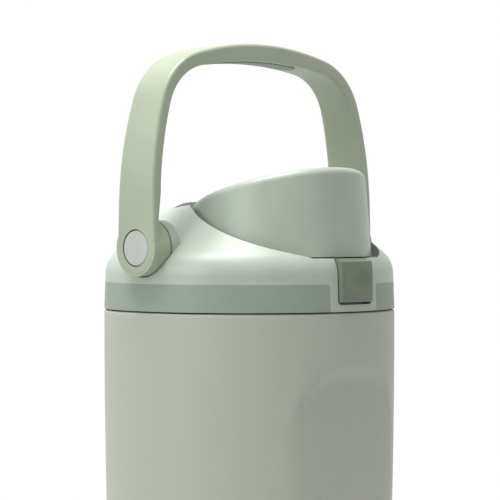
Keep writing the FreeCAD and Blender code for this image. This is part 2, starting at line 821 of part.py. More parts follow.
def make_spout():
    """Drinking spout, its O-ring and the small vent valve beside it."""
    flange_top = "(deck_height + spout_flange)"
    body = turned(
        "spout_body",
        [("spout_bore", INSERT_UNDER),
         ("spout_spigot_radius", INSERT_UNDER),
         ("spout_spigot_radius", "deck_height + oring_thickness"),
         ("spout_spigot_radius + oring_width", "deck_height + oring_thickness"),
         ("spout_spigot_radius + oring_width", "deck_height"),
         ("spout_flange_radius", "deck_height"),
         ("spout_flange_radius", flange_top),
         ("spout_radius", flange_top),
         ("spout_radius", "spout_top - spout_lip_height"),
         ("spout_lip_radius", "spout_top - spout_lip_height"),
         ("spout_lip_radius", "spout_top"),
         ("spout_bore", "spout_top")],
        ("spout_lip_radius", "spout_top", "spout_lip_round"),
        ("spout_bore", "spout_top", "spout_lip_round"))
    put(body, y="0 - spout_y")
    node(body, "spout", LID)
    ring = turned(
        "oring_body",
        [("spout_spigot_radius + running_gap", "deck_height"),
         ("spout_spigot_radius + oring_width - running_gap", "deck_height"),
         ("spout_spigot_radius + oring_width - running_gap", "deck_height + oring_thickness - running_gap"),
         ("spout_spigot_radius + running_gap", "deck_height + oring_thickness - running_gap")])
    put(ring, y="0 - spout_y")
    node(ring, "spout_gasket", LID)
    valve = turned(
        "vent_body",
        [("0", INSERT_UNDER),
         ("vent_stem", INSERT_UNDER),
         ("vent_stem", "deck_height"),
         ("vent_radius", "deck_height"),
         ("vent_radius", "deck_height + vent_height"),
         ("0", "deck_height + vent_height")],
        ("vent_radius", "deck_height + vent_height", "vent_round"))
    put(valve, x="vent_x", y="0 - vent_y")
    node(valve, "vent_valve", LID)


def coil(name, start, end):
    """Helical spring along X between two places."""
    body = doc.addObject("PartDesign::Body", name)
    sketch = sketch_on(body, f"{name}_wire", "XZ_Plane")
    centre = FreeCAD.Vector(number(start), number("coil_radius"), 0)
    sketch.addGeometry(Part.Circle(centre, UP, number("coil_wire / 2")), False)
    hold(sketch, "DistanceX", 0, 3, start)
    hold(sketch, "DistanceY", 0, 3, "coil_radius")
    size = sketch.addConstraint(Sketcher.Constraint("Radius", 0, number("coil_wire / 2")))
    bind(sketch, f"Constraints[{size}]", "coil_wire / 2")
    wound(body, sketch, "coil_pitch", f"({end}) - ({start})", "H_Axis")
    return body


def make_hinge():
    """Hinge pin and the torsion spring wound round it."""
    half = f"(hinge_relief_half_width + hinge_pin_seat)"
    pin = rod("hinge_pin_rod", "hinge_pin_radius", f"0 - {half}", half, y="hinge_y", z="hinge_height")
    node(pin, "hinge_pin", "seam_height + hinge_height")
    reach = "(hinge_barrel_half_gap - coil_wire)"
    spring = coil("cap_spring_coil", f"0 - {reach}", reach)
    put(spring, y="hinge_y")
    node(spring, "cap_spring", "seam_height + hinge_height")


# ------------------------------------------------------------------- flip cap

CAP_BOTTOM = "(deck_height + cap_lower_gap)"
CAP_DRAFT = "((cap_radius - cap_top_radius) / (cap_top_height - deck_height - cap_lower_gap))"


def above_plane(name, drop):
    """Half space over the cap's sloping top, at some depth under it."""
    item = doc.addObject("Part::Box", name)
    for side in ("Length", "Width", "Height"):
        bind(item, side, FAR)
    turn = FreeCAD.Rotation(FreeCAD.Vector(1, 0, 0), -number("cap_slope"))
    item.Placement = FreeCAD.Placement(FreeCAD.Vector(), turn)
    bind(item, "Placement.Base.x", f"0 - {FAR} / 2")
    bind(item, "Placement.Base.y", f"0 - cap_centre - {FAR} / 2 * cos(cap_slope * 1 deg)")
    bind(item, "Placement.Base.z",
         f"cap_plane_height - ({drop}) / cos(cap_slope * 1 deg) + {FAR} / 2 * sin(cap_slope * 1 deg)")
    return item


def cap_form(name, inset, low):
    """Drafted round cap under its sloping top, cut off flat behind the hinge."""
    cone = doc.addObject("Part::Cone", f"{name}_cone")
    bind(cone, "Radius1", f"cap_radius - {inset} + {CAP_DRAFT} * ({CAP_BOTTOM} - ({low}))")
    bind(cone, "Radius2", f"cap_top_radius - {inset}")
    bind(cone, "Height", f"cap_top_height - ({low})")
    put(cone, y="0 - cap_centre", z=low)
    rear = box(f"{name}_rear", ("0 - 2 * cap_radius", f"hinge_y + hinge_rear_depth - {inset}", "0"),
               ("2 * cap_radius", "2 * body_radius", "3 * cap_radius"))
    return cut(name, cone, above_plane(f"{name}_top", inset), rear)


def make_cap():
    """Flip cap shell with its catch and the two hinge barrels."""
    block = cap_form("cap_block", "0", CAP_BOTTOM)
    front = number("hinge_y + hinge_rear_depth")
    low = number(CAP_BOTTOM)

    def on_top(edge):
        """Whether an edge borders the sloping top."""
        box_of = edge.BoundBox
        level = box_of.ZMin > low + 1 and box_of.XLength > 1
        return level and box_of.YMin < front + TOUCH
    rounded_block = rounded("cap_rounded", block, "cap_edge_round", on_top)
    hollow = cap_form("cap_hollow", "cap_wall", f"{CAP_BOTTOM} - overshoot")
    shell = cut("cap_shell", rounded_block, hollow)
    barrels = rod("cap_barrel", "hinge_barrel_radius", "0 - cap_radius", "cap_radius",
                  y="hinge_y", z="hinge_height")
    web = box("cap_web", ("0 - cap_radius", "hinge_y - hinge_barrel_radius", "hinge_height"),
              ("cap_radius", "hinge_y + hinge_rear_depth", "crown_height"))
    inside = cap_form("cap_inside", "cap_wall / 2", f"{CAP_BOTTOM} - overshoot")
    knuckles = common("cap_knuckles", joined("cap_barrel_web", barrels, web), inside)
    catch = box("cap_catch",
                ("0 - latch_half_width", "0 - cap_centre - cap_radius + cap_wall / 2", "catch_bottom"),
                ("latch_half_width", "0 - cap_centre - cap_radius + cap_wall + catch_depth", "catch_top"))
    whole = joined("cap_whole", shell, knuckles, catch)
    spring_gap = box("spring_gap",
                     ("0 - hinge_barrel_half_gap", "hinge_y - spring_gap_front",
                      "hinge_height - spring_gap_drop"),
                     ("hinge_barrel_half_gap", "hinge_y + hinge_barrel_radius + spring_gap_rear",
                      "hinge_height + hinge_barrel_radius"))
    rear_skirt = box("rear_skirt", ("0 - 2 * cap_radius", "hinge_y - skirt_rear_reach", "0"),
                     ("2 * cap_radius", "2 * cap_radius", "hinge_height - skirt_rear_drop"))
    bore = rod("cap_pin_bore", "hinge_pin_radius + running_gap", "0 - 2 * cap_radius",
               "2 * cap_radius", y="hinge_y", z="hinge_height")
    node(cut("flip_cap", whole, spring_gap, rear_skirt, bore), "flip_cap_shell", LID)


def make_spout_seal():
    """Seal that closes the spout, and the carrier that holds it under the cap's top."""
    top = "(spout_top + seal_gap + seal_thickness)"
    seal = turned(
        "seal_body",
        [("0", "spout_top - plug_depth"),
         ("plug_radius", "spout_top - plug_depth"),
         ("plug_radius", "spout_top + seal_gap"),
         ("seal_radius", "spout_top + seal_gap"),
         ("seal_radius", top),
         ("0", top)])
    put(seal, y="0 - spout_y")
    node(seal, "spout_seal", LID)
    post = cylinder("carrier_post", "carrier_radius", top, "cap_top_height", y="0 - spout_y")
    node(cut("carrier", post, above_plane("carrier_top", "cap_wall")), "seal_carrier", LID)


# ------------------------------------------------------- release button, latch

def make_button():
    """Thumb button with its dimple; its upper part leans in with the dome."""
    face = turned(
        "button_face",
        [("0", "button_bottom"),
         ("button_front", "button_bottom"),
         ("button_front", "button_bend"),
         ("button_top_front", "button_top"),
         ("button_crest_front", "button_crest"),
         ("0", "button_crest")],
        ("button_front", "button_bend", "button_bend_round"))
    block = box("button_block",
                ("0 - button_half_width", "0 - button_front - overshoot", "button_bottom - overshoot"),
                ("button_half_width", "0 - button_back", "button_crest + overshoot"))
    plain = common("button_plain", face, block)
    back = number("button_back")

    def on_front(edge):
        """Whether an edge lies wholly in front of the button's back."""
        return edge.BoundBox.YMax < -back - 0.5 and edge.BoundBox.DiagonalLength > 1
    soft = rounded("button_soft", plain, "button_round", on_front)
    dimple = doc.addObject("Part::Ellipsoid", "button_dimple")
    bind(dimple, "Radius1", "dimple_half_height")
    bind(dimple, "Radius2", "dimple_half_width")
    bind(dimple, "Radius3", "dimple_half_depth")
    put(dimple, y="dimple_depth - button_front - dimple_half_depth", z="dimple_height")
    bore = doc.addObject("Part::Cylinder", "button_bore")
    bind(bore, "Radius", "button_bore")
    bind(bore, "Height", "button_bore_depth + overshoot")
    put(bore, "0", "0 - button_back - button_bore_depth", "dimple_height", ALONG_Y)
    node(cut("button", soft, dimple, bore), "latch_button", LID)


def make_latch():
    """Sliding latch behind the button: plate, arm, post and nose."""
    plate_back = "(latch_plate_thickness - button_back)"
    post_front = "(0 - latch_post_back - latch_post_thickness)"
    plate = box("latch_plate",
                ("0 - latch_plate_half_width", "0 - button_back", "latch_plate_bottom"),
                ("latch_plate_half_width", plate_back, "latch_plate_top"))
    arm = box("latch_arm", ("0 - latch_half_width", "0 - button_back", "latch_arm_bottom"),
              ("latch_half_width", "0 - latch_post_back", "latch_arm_bottom + latch_arm_thickness"))
    post = box("latch_post", ("0 - latch_half_width", post_front, "latch_arm_bottom"),
               ("latch_half_width", "0 - latch_post_back", "latch_top"))
    nose = box("latch_nose",
               ("0 - latch_half_width", f"{post_front} - latch_nose_length", "latch_nose_bottom"),
               ("latch_half_width", "0 - latch_post_back", "latch_top"))
    opening = doc.addObject("Part::Cylinder", "latch_opening")
    bind(opening, "Radius", "button_bore")
    bind(opening, "Height", "3 * latch_plate_thickness")
    put(opening, "0", "0 - button_back - latch_plate_thickness", "dimple_height", ALONG_Y)
    keep = cylinder("latch_limit", INSIDE_LIMIT, "0", "crown_height")
    backing = box("latch_backing",
                  (f"0 - {BUTTON_POCKET_HALF} + rail_gap", "0 - button_back", "latch_plate_bottom"),
                  (f"{BUTTON_POCKET_HALF} - rail_gap", plate_back, "latch_plate_top"))
    wings = common("latch_wings", plate, keep)
    node(cut("latch", joined("latch_whole", wings, backing, arm, post, nose), opening), "latch_slide", LID)


def make_button_spring():
    """Compression spring between the button and the inner skirt."""
    front = "(0 - button_back - button_bore_depth)"
    length = f"(button_back + button_bore_depth - {SKIRT_RADIUS} - 3 * coil_wire / 4)"
    spring = coil("button_spring_coil", "coil_wire / 2", length)
    spring.Placement = FreeCAD.Placement(FreeCAD.Vector(), FreeCAD.Rotation(UP, 90))
    put(spring, y=front)
    node(spring, "button_spring", "seam_height + dimple_height")


def make_retainer():
    """Frame hung from the deck that guides the latch plate."""
    near = "(latch_plate_half_width + rail_gap)"
    far = f"({near} + rail_width)"
    front = "(0 - button_back + rail_gap)"
    back = f"({front} + rail_depth)"
    rails = [box("left_rail", (f"0 - {far}", front, "rail_bottom"), (f"0 - {near}", back, DECK_UNDER)),
             box("right_rail", (near, front, "rail_bottom"), (far, back, DECK_UNDER)),
             box("bottom_rail", (f"0 - {far}", front, "rail_bottom"),
                 (far, back, "button_bottom - rail_gap"))]
    keep = cylinder("rail_limit", INSIDE_LIMIT, "0", "deck_height")
    node(common("retainer", joined("retainer_frame", *rails), keep), "button_retainer", LID)


# --------------------------------------------------------------------- handle

def arch(name, half_span, leg_top, leg_radius, corner, corner_radius, top, top_radius, foot):
    """Upright arch outline: straight legs, leg arcs, corner arcs and a flat top arc."""
    bend_x, bend_z = corner
    leg_x = f"({half_span} - {leg_radius})"
    reach = f"({leg_radius} - {corner_radius})"
    low_x = f"({leg_x} + ({bend_x} - {leg_x}) * {leg_radius} / {reach})"
    low_z = f"({leg_top} + ({bend_z} - {leg_top}) * {leg_radius} / {reach})"
    centre_z = f"({top} - {top_radius})"
    rise = f"({bend_z} - {centre_z})"
    far = f"({top_radius} - {corner_radius})"
    high_x = f"({bend_x} * {top_radius} / {far})"
    high_z = f"({centre_z} + {rise} * {top_radius} / {far})"
    return padded(
        name,
        [(f"0 - {half_span}", f"0 - {foot}"),
         (half_span, f"0 - {foot}"),
         (half_span, leg_top, f"-{leg_radius}"),
         (low_x, low_z, f"-{corner_radius}"),
         (high_x, high_z, f"-{top_radius}"),
         (f"0 - {high_x}", high_z, f"-{corner_radius}"),
         (f"0 - {low_x}", low_z, f"-{leg_radius}"),
         (f"0 - {half_span}", leg_top)],
        "3 * strap_half_width")


def make_handle():
    """Bail handle: an arched strap that narrows to the top, with a round boss at each end."""
    outer = arch("handle_outer", "handle_half_span", "handle_leg_top", "handle_leg_radius",
                 ("handle_corner_x", "handle_corner_z"), "handle_corner_radius",
                 "handle_top", "handle_top_radius", "boss_radius")
    inner = arch("handle_inner", "grip_leg_half_span", "grip_arc_height", "grip_leg_radius",
                 ("grip_corner_x", "grip_corner_z"), "grip_corner_radius",
                 "grip_arch_top", "grip_arch_radius", "2 * boss_radius")
    relief = padded(
        "handle_relief",
        [("0 - grip_half_span", "0 - 2 * boss_radius"),
         ("grip_half_span", "0 - 2 * boss_radius"),
         ("grip_half_span", "relief_height"),
         ("grip_half_span - relief_taper", "relief_top"),
         ("relief_taper - grip_half_span", "relief_top"),
         ("0 - grip_half_span", "relief_height")],
        "4 * strap_half_width")
    strap = cut("handle_strap", outer, inner, relief)
    side = padded(
        "handle_side",
        [("0 - strap_half_width", "0"),
         ("strap_half_width", "0"),
         ("strap_top_half_width", "handle_top + overshoot"),
         ("0 - strap_top_half_width", "handle_top + overshoot")],
        "3 * handle_half_span", role="YZ_Plane")
    ends = rod("handle_ends", "strap_half_width", "0 - 2 * handle_half_span", "2 * handle_half_span")
    band = common("handle_band", strap, joined("handle_profile", side, ends))

    def outer_edge(edge):
        """Whether an edge runs along the outside of the strap."""
        return edge.BoundBox.DiagonalLength > 3 and runs_outside(edge)
    soft = rounded("handle_soft", band, "strap_round", outer_edge)
    bosses = []
    holes = []
    for name, sign in (("left", -1), ("right", 1)):
        bosses.append(side_rod(f"{name}_boss", "boss_radius", "boss_inner_x", "boss_outer_x", sign))
        holes.append(side_rod(f"{name}_bush_hole", "bush_radius + running_gap",
                              "boss_inner_x - overshoot", "bush_end_x", sign))
        holes.append(side_rod(f"{name}_head_hole", "screw_head_radius + screw_head_gap",
                              "bush_end_x - running_gap", "boss_outer_x", sign))
        holes.append(side_rod(f"{name}_cap_hole", "pivot_cap_radius + pivot_cap_gap",
                              "boss_outer_x - pivot_cap_thickness", "boss_outer_x + far_overshoot", sign))
    node(cut("handle", joined("handle_whole", soft, *bosses), pad_form("pad_recess", "pad_gap"), *holes),
         "handle_bail", PIVOT)
    node(pad_form("pad", "0"), "handle_grip_pad", PIVOT)


def runs_outside(edge):
    """Whether an edge lies along a side of the strap rather than across it."""
    box_of = edge.BoundBox
    return box_of.XLength > 1 or box_of.ZLength > 3


def pad_form(name, grow):
    """Long round-ended pad bent along the underside of the arch."""
    low = "(grip_arch_top - grip_arch_radius)"
    ring = rod_y(f"{name}_outer", f"grip_arch_radius + pad_depth + {grow}", low)
    core = rod_y(f"{name}_inner", f"grip_arch_radius - pad_proud - {grow}", low)
    half = f"(pad_half_width + {grow})"
    middle = box(f"{name}_middle", ("0 - pad_half_length + pad_half_width", f"0 - {half}", "0"),
                 ("pad_half_length - pad_half_width", half, "handle_top"))
    ends = [cylinder(f"{name}_{side}_end", half, "0", "handle_top", x=place)
            for side, place in (("left", "pad_half_width - pad_half_length"),
                                ("right", "pad_half_length - pad_half_width"))]
    return common(name, cut(f"{name}_ring", ring, core), joined(f"{name}_plan", middle, *ends))


def rod_y(name, radius, height):
    """Wide rod along Y at some height."""
    item = doc.addObject("Part::Cylinder", name)
    bind(item, "Radius", radius)
    bind(item, "Height", "4 * strap_half_width")
    return put(item, "0", "0 - 2 * strap_half_width", height, ALONG_Y)


def make_pivots():
    """Bush, washer, screw and cover at each end of the handle."""
    for side, sign in (("left", -1), ("right", 1)):
        tube = side_rod(f"{side}_bush_outside", "bush_radius", "trunnion_x - bush_seat", "bush_end_x", sign)
        bore = side_rod(f"{side}_bush_bore", "screw_radius + running_gap", "hub_inner_x",
                        "handle_half_span", sign)
        node(cut(f"{side}_bush", tube, bore), f"{side}_pivot_bush", PIVOT)
        washer = cut(f"{side}_washer",
                     side_rod(f"{side}_washer_disc", "washer_radius", "trunnion_x",
                              "boss_inner_x - washer_gap", sign),
                     side_rod(f"{side}_washer_bore", "bush_radius + running_gap", "hub_inner_x",
                              "handle_half_span", sign))
        node(washer, f"{side}_friction_washer", PIVOT)
        head_end = "bush_end_x + screw_head_thickness"
        shank = side_rod(f"{side}_shank", "screw_radius", "hub_inner_x", "bush_end_x + screw_shank_lead",
                         sign)
        head = side_rod(f"{side}_head", "screw_head_radius", "bush_end_x", head_end, sign)
        socket = side_rod(f"{side}_socket", "screw_slot_radius", f"{head_end} - screw_slot_depth",
                          f"{head_end} + overshoot", sign)
        node(cut(f"{side}_screw", joined(f"{side}_screw_whole", shank, head), socket),
             f"{side}_pivot_screw", PIVOT)
        disc = side_rod(f"{side}_cover_disc", "pivot_cap_radius",
                        "boss_outer_x - pivot_cap_thickness", "boss_outer_x", sign)
        outer = number("boss_outer_x")

        def on_face(edge, outer=outer):
            """Whether an edge is the rim of the cover's outer face."""
            return abs(abs(edge.BoundBox.XMin) - outer) < TOUCH and edge.BoundBox.XLength < TOUCH
        node(rounded(f"{side}_cover", disc, "pivot_cap_round", on_face), f"{side}_pivot_cap", PIVOT)


def main():
    """Build every sub-part, check it and write it to its own file."""
    fill_sheet()
    make_outer_shell()
    make_inner_liner()
    make_base()
    make_accent_band()
    make_collar()
    make_insert()
    make_gasket()
    make_spout()
    make_hinge()
    make_cap()
    make_spout_seal()
    make_button()
    make_latch()
    make_button_spring()
    make_retainer()
    make_handle()
    make_pivots()
    doc.recompute()
    for item in doc.Objects:
        if "Invalid" in item.State or "Error" in item.State:
            raise RuntimeError(f"{item.Name} did not rebuild: {item.State}")
    for item in nodes:
        if item.Shape.isNull() or not item.Shape.isValid() or len(item.Shape.Solids) != 1:
            raise RuntimeError(f"{item.Label} isn't one valid solid")
    os.makedirs("parts", exist_ok=True)
    for item in nodes:
        item.Shape.exportStep(f"parts/{item.Label}.step")


main()
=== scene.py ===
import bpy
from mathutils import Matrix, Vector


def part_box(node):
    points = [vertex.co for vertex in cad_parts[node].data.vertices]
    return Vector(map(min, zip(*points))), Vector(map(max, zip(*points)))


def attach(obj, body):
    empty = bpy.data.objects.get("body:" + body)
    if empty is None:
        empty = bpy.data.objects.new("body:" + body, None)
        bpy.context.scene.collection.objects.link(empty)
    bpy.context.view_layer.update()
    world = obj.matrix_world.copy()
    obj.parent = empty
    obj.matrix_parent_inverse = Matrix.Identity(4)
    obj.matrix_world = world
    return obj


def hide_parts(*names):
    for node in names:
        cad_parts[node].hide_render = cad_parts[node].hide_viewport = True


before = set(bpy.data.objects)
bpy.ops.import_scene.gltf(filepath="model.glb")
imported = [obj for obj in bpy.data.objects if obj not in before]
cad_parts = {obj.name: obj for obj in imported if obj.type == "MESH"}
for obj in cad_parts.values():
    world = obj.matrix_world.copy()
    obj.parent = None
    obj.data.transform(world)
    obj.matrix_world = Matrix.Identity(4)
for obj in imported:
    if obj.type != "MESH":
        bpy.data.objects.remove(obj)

"""Looks of the large insulated water jug, laid out as an add-on and run as a script.

The bottle's skin is modelled here with its soft grip hollows. Every other piece is the solid
from the frame with a moulded, coated, rubber or steel finish.
"""
import math

import bpy
import numpy as np
from mathutils import Euler, Vector

bl_info = {
    "name": "Water jug looks",
    "version": (1, 0, 0),
    "blender": (4, 5, 0),
    "location": "View3D > Sidebar > Jug",
    "description": "Coated bottle skin, moulded lid finishes and studio for the water jug",
    "category": "Object",
}

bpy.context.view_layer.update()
SHELL_LOW, SHELL_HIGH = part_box("outer_shell")
PLATE_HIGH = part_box("base_plate")[1]
AXIS_X, AXIS_Y, AXIS_Z = 0, 1, 2

# the skin's section, its turning and its two grip hollows
NECK_HOLE = 0.04605
CORE_RADIUS = 0.02
SIDE_STEPS, FOOT_STEPS, LIP_STEPS = 150, 9, 5
LIP_SHARE = 0.7
LEAST_FACING = 0.25
GRIP_INPUTS = {"Grip floor": "grip_floor", "Grip half width": "grip_half_width", "Grip corner": "grip_corner",
               "Grip top": "grip_top", "Grip bottom": "grip_bottom", "Grip rise": "grip_rise",
               "Grip softness": "grip_softness"}

# finishes
ROUGHNESS_SPREAD = 0.06
LINE_STRETCH = 40.0
LINE_PITCH = 0.0005

# stage
FILM_WIDTH = 36.0
TABLE_STEPS = 96
TABLE_FADE = (0.55, 0.98)
TABLE_LIT = (0.55, 0.55, 0.54, 1.0)
TABLE_SEEN = (0.80, 0.80, 0.79, 1.0)
SIDE_PLACE, SIDE_SIZE = (-1.27, 0.10, 0.60), 0.6
TOP_PLACE, TOP_SIZE = (-0.22, 0.15, 1.45), 0.7


# ----------------------------------------------------------------- settings

def length(name, description, default):
    """Property for a length in metres."""
    return bpy.props.FloatProperty(name=name, description=description, default=default,
                                   unit="LENGTH", precision=5)


def colour(name, description, default):
    """Property for a linear surface colour."""
    return bpy.props.FloatVectorProperty(name=name, description=description, default=default,
                                         subtype="COLOR", size=3, min=0.0, max=1.0)


class JugShapeSettings(bpy.types.PropertyGroup):
    """Sizes of the bottle's skin that the frame doesn't give."""
    side_arc: length("Side arc", "Radius of the long arc of the bottle's side", 3.3)
    base_radius: length("Base radius", "Radius where the side meets the base", 0.0544)
    base_corner: length("Base corner", "Rounding at the foot of the side", 0.006)
    top_corner: length("Top corner", "Rounding under the lid", 0.001)
    wall: length("Wall", "Thickness of the skin", 0.0009)
    grip_floor: length("Grip floor", "Distance of a grip hollow's floor from the axis", 0.0553)
    grip_half_width: length("Grip half width", "Half the width of a hollow's floor", 0.0290)
    grip_corner: length("Grip corner", "Corner radius of a hollow's floor", 0.0215)
    grip_top: length("Grip top", "Height of the top of a hollow's floor", 0.1868)
    grip_bottom: length("Grip bottom", "Height of the bottom of a hollow's floor", 0.0755)
    grip_rise: bpy.props.FloatProperty(
        name="Grip rise", description="Slope of a hollow's sides, rise per run", default=1.1)
    grip_softness: length("Grip softness", "How wide the hollow's edge is blended", 0.0060)
    turns: bpy.props.IntProperty(name="Steps round", description="Steps that the skin is turned in",
                                 default=288)


class JugFinishSettings(bpy.types.PropertyGroup):
    """Colours of the finishes."""
    coat: colour("Powder coat", "Warm grey-green coat of the bottle", (0.415, 0.440, 0.375))
    collar: colour("Lid", "Pale sage plastic of the lid", (0.412, 0.470, 0.402))
    band: colour("Band", "Darker rubber band round the lid", (0.262, 0.322, 0.262))
    cap: colour("Cap", "Sage plastic of the flip cap", (0.390, 0.455, 0.380))
    handle: colour("Handle", "Yellower sage plastic of the handle", (0.365, 0.420, 0.306))
    pad: colour("Handle pad", "Soft pad under the handle", (0.215, 0.270, 0.175))
    button: colour("Button", "Dark sage plastic of the button", (0.150, 0.190, 0.130))
    cover: colour("Pivot cover", "Cool pale grey of the pivot covers", (0.470, 0.495, 0.465))
    inner: colour("Inner mouldings", "Pale plastic inside the lid", (0.600, 0.630, 0.580))
    rubber: colour("Seals", "Milky silicone of the seals", (0.560, 0.580, 0.540))
    foot: colour("Foot", "Grey-green silicone foot", (0.210, 0.235, 0.190))
    steel: colour("Steel", "Stainless steel", (0.560, 0.555, 0.540))


class JugStageSettings(bpy.types.PropertyGroup):
    """Camera and lamps."""
    distance: length("Camera distance", "Level distance of the camera from the jug's axis", 0.948)
    eye_height: length("Eye height", "Height of the camera above the table", 0.2510)
    pitch: bpy.props.FloatProperty(name="Pitch", description="How far the camera looks down",
                                   default=math.radians(0.713), subtype="ANGLE")
    turn: bpy.props.FloatProperty(name="Turn", description="Direction that the camera looks in, from +Y",
                                  default=math.radians(-45.0), subtype="ANGLE")
    aim: bpy.props.FloatProperty(name="Aim", description="How far the camera looks past the jug's axis",
                                 default=0.000267, subtype="ANGLE")
    lens: bpy.props.FloatProperty(name="Lens", description="Focal length in millimetres", default=162.0)
    key: bpy.props.FloatProperty(name="Key", description="Power of the side softbox", default=4.4,
                                 unit="POWER")
    top: bpy.props.FloatProperty(name="Top", description="Power of the top softbox", default=22.0,
                                 unit="POWER")
    sky: bpy.props.FloatProperty(name="Sky", description="Level of the room light from above", default=0.58)
    ground: bpy.props.FloatProperty(name="Ground", description="Level of the room light from below",
                                    default=0.34)
    floor_radius: length("Floor radius", "Radius of the pale table", 0.85)


# -------------------------------------------------------------- node helpers

class Nodes:
    """Short way to add and join nodes in one tree."""

    def __init__(self, tree):
        self.tree = tree

    def add(self, kind, settings=None, **values):
        """Add a node with its settings and input values; a value may be another node's socket."""
        node = self.tree.nodes.new(kind)
        for name, value in (settings or {}).items():
            setattr(node, name, value)
        for name, value in values.items():
            self.feed(node.inputs[name.replace("_", " ")], value)
        return node

    def feed(self, socket, value):
        """Join a socket to another one, or set its value."""
        if isinstance(value, bpy.types.NodeSocket):
            self.tree.links.new(value, socket)
        else:
            socket.default_value = value

    def noise(self, where, size, detail=2.0, roughness=0.5):
        """Fractal noise whose features are about as large as size."""
        scale = self.math("DIVIDE", 1.0, size)
        node = self.add("ShaderNodeTexNoise", Vector=where, Scale=scale, Detail=detail, Roughness=roughness)
        return node.outputs["Fac"]

    def math(self, operation, first, second=0.0, clamp=False):
        """One sum on two numbers or sockets."""
        node = self.tree.nodes.new("ShaderNodeMath")
        node.operation = operation
        node.use_clamp = clamp
        self.feed(node.inputs[0], first)
        self.feed(node.inputs[1], second)
        return node.outputs[0]

    def ramp(self, value, low, high, start=0.0, end=1.0):
        """Value mapped from one range to another, held at the ends."""
        node = self.tree.nodes.new("ShaderNodeMapRange")
        for place, number in enumerate((value, low, high, start, end)):
            self.feed(node.inputs[place], number)
        return node.outputs[0]

    def mix(self, factor, first, second):
        """Blend of two colours."""
        node = self.tree.nodes.new("ShaderNodeMix")
        node.data_type = "RGBA"
        for place, value in ((0, factor), (6, first), (7, second)):
            self.feed(node.inputs[place], value)
        return node.outputs[2]


def new_group(name, inputs, outputs, tree_kind="ShaderNodeTree"):
    """Empty node group with named sockets; returns it with its Nodes and its inner sockets."""
    group = bpy.data.node_groups.new(name, tree_kind)
    for label, kind, default in inputs:
        socket = group.interface.new_socket(name=label, in_out="INPUT", socket_type=f"NodeSocket{kind}")
        if default is not None:
            socket.default_value = default
    for label, kind in outputs:
        group.interface.new_socket(name=label, in_out="OUTPUT", socket_type=f"NodeSocket{kind}")
    nodes = Nodes(group)
    entry = group.nodes.new("NodeGroupInput").outputs
    leave = group.nodes.new("NodeGroupOutput").inputs
    return group, nodes, entry, leave


def moulded_grain():
    """Fine spark-eroded grain of moulded plastic, with slow changes of tone and gloss."""
    group, nodes, entry, leave = new_group(
        "Moulded grain",
        [("Vector", "Vector", None), ("Grain size", "Float", 0.0004), ("Cloud size", "Float", 0.02)],
        [("Height", "Float"), ("Tone", "Float"), ("Gloss", "Float")])
    fine = nodes.noise(entry["Vector"], entry["Grain size"], 3.0, 0.6)
    coarse = nodes.noise(entry["Vector"], nodes.math("MULTIPLY", entry["Grain size"], 3.7), 1.0)
    clouds = nodes.noise(entry["Vector"], entry["Cloud size"], 2.0)
    nodes.feed(leave["Height"], nodes.math("ADD", nodes.math("MULTIPLY", coarse, 0.35), fine))
    nodes.feed(leave["Tone"], nodes.ramp(clouds, 0.3, 0.7))
    uneven = nodes.math("ADD", nodes.math("MULTIPLY", fine, 0.4), clouds)
    nodes.feed(leave["Gloss"], nodes.ramp(uneven, 0.4, 1.0))
    return group


def coat_grain():
    """Orange-peel skin of powder coat with its small dark and light specks."""
    group, nodes, entry, leave = new_group(
        "Powder coat grain",
        [("Vector", "Vector", None), ("Peel size", "Float", 0.0011), ("Speck size", "Float", 0.0007)],
        [("Height", "Float"), ("Specks", "Float"), ("Gloss", "Float")])
    peel = nodes.add("ShaderNodeTexVoronoi", {"feature": "SMOOTH_F1"}, Vector=entry["Vector"],
                     Scale=nodes.math("DIVIDE", 1.0, entry["Peel size"]), Smoothness=0.8)
    fine = nodes.noise(entry["Vector"], nodes.math("MULTIPLY", entry["Peel size"], 0.35), 3.0, 0.6)
    specks = nodes.noise(entry["Vector"], entry["Speck size"], 2.0, 0.7)
    clouds = nodes.noise(entry["Vector"], 0.03, 2.0)
    relief = nodes.math("SUBTRACT", nodes.math("MULTIPLY", fine, 0.6), peel.outputs["Distance"])
    nodes.feed(leave["Height"], relief)
    nodes.feed(leave["Specks"], nodes.ramp(specks, 0.30, 0.70))
    nodes.feed(leave["Gloss"], nodes.ramp(nodes.math("ADD", specks, clouds), 0.7, 1.3))
    return group


def brushed_grain():
    """Fine turned lines round Z, as on drawn and polished steel."""
    group, nodes, entry, leave = new_group(
        "Turned steel grain", [("Vector", "Vector", None), ("Line pitch", "Float", LINE_PITCH)],
        [("Height", "Float"), ("Gloss", "Float")])
    split = nodes.add("ShaderNodeSeparateXYZ", Vector=entry["Vector"])
    along = nodes.math("MULTIPLY", split.outputs[AXIS_Z], LINE_STRETCH)
    join = nodes.add("ShaderNodeCombineXYZ", X=split.outputs[AXIS_X], Y=split.outputs[AXIS_Y], Z=along)
    spacing = nodes.math("MULTIPLY", entry["Line pitch"], LINE_STRETCH)
    lines = nodes.noise(join.outputs["Vector"], spacing, 4.0, 0.7)
    nodes.feed(leave["Height"], lines)
    nodes.feed(leave["Gloss"], nodes.ramp(lines, 0.3, 0.7))
    return group


GROUPS = {}


def shared(make):
    """Node group made once and used by several materials."""
    if make.__name__ not in GROUPS:
        GROUPS[make.__name__] = make()
    return GROUPS[make.__name__]


def shade(value, factor):
    """Linear colour made lighter or darker, with an alpha of one."""
    return [min(1.0, channel * factor) for channel in value] + [1.0]


def start_material(name):
    """Material with a Principled shader; returns it, its Nodes, the shader and Object coordinates."""
    material = bpy.data.materials.new(name)
    material.use_nodes = True
    nodes = Nodes(material.node_tree)
    shader = material.node_tree.nodes["Principled BSDF"]
    where = nodes.add("ShaderNodeTexCoord").outputs["Object"]
    return material, nodes, shader, where


